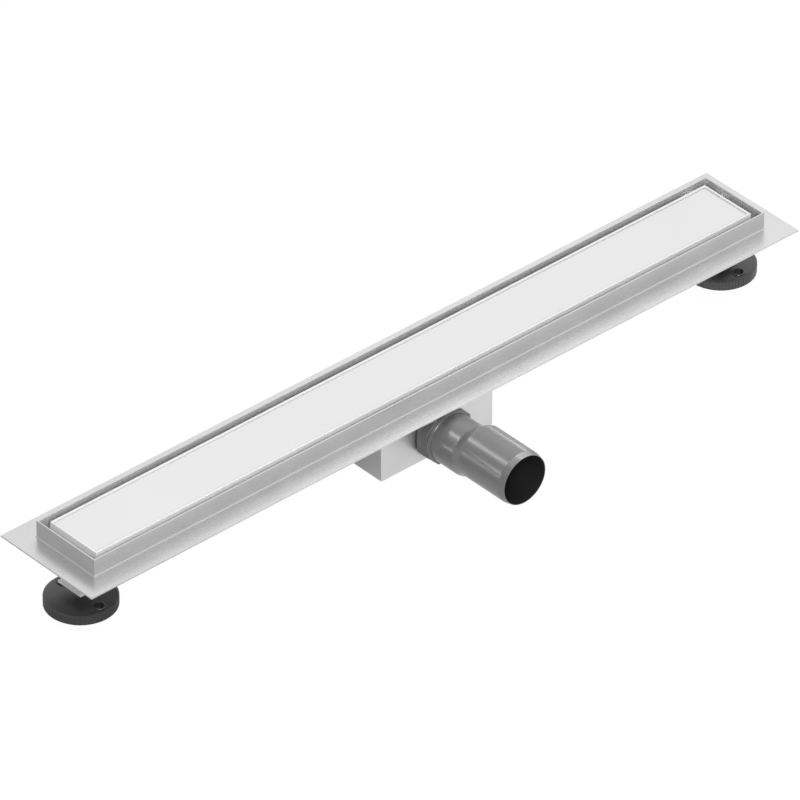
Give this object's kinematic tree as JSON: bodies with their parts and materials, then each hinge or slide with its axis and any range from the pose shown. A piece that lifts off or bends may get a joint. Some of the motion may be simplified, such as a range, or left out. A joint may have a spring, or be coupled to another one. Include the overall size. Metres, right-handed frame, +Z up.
{
  "type": "linear shower drain",
  "caption": "Long shallow steel shower channel with raised rim, flat flange, recessed-panel cover, trap box, offset side outlet and levelling feet.",
  "frame": {"origin": "middle of the trap box's underside, on the floor that the feet stand on", "axes": "+X along the channel, -Y the way the outlet points, +Z up"},
  "size_m": [0.8, 0.2066, 0.0725],
  "materials": {
    "steel": "pickled satin",
    "white_coat": "white powder coat, satin",
    "panel": "opaque white, polished",
    "outlet_plastic": "smooth moulded",
    "nut_plastic": "smooth moulded",
    "foot_plastic": "fine moulded grain",
    "trap_plastic": "smooth moulded",
    "rubber": "matt",
    "fasteners": "zinc plated"
  },
  "bodies": {
    "channel": {"channel_trough": "steel", "flange_plate": "steel", "trap_box": "steel", "cover_tray": "white_coat", "foot_bracket_left": "steel", "foot_bracket_right": "steel", "cover_leg_1": "steel", "cover_leg_2": "steel", "cover_leg_3": "steel", "cover_leg_4": "steel", "cover_insert": "panel", "bracket_nut_left": "fasteners", "foot_locknut_left": "fasteners", "bracket_nut_right": "fasteners", "foot_locknut_right": "fasteners", "leg_pad_1": "rubber", "leg_pad_2": "rubber", "leg_pad_3": "rubber", "leg_pad_4": "rubber", "leg_pad_5": "rubber", "leg_pad_6": "rubber", "leg_pad_7": "rubber", "leg_pad_8": "rubber", "trap_seal": "rubber", "bush_gasket": "rubber", "outlet_washer": "rubber", "outlet_seal": "rubber", "outlet_pipe": "outlet_plastic", "outlet_bush": "outlet_plastic", "outlet_locknut": "nut_plastic", "trap_funnel": "trap_plastic", "trap_cup": "trap_plastic", "trap_strainer": "trap_plastic"},
    "left_foot": {"foot_stud_left": "fasteners", "foot_disc_left": "foot_plastic"},
    "right_foot": {"foot_stud_right": "fasteners", "foot_disc_right": "foot_plastic"}
  },
  "joints": [
    {"name": "left_foot_height", "type": "slide", "parent": "channel", "child": "left_foot", "axis": [0, 0, -1], "range_m": [-0.003, 0.022]},
    {"name": "right_foot_height", "type": "slide", "parent": "channel", "child": "right_foot", "axis": [0, 0, -1], "range_m": [-0.003, 0.022]}
  ]
}
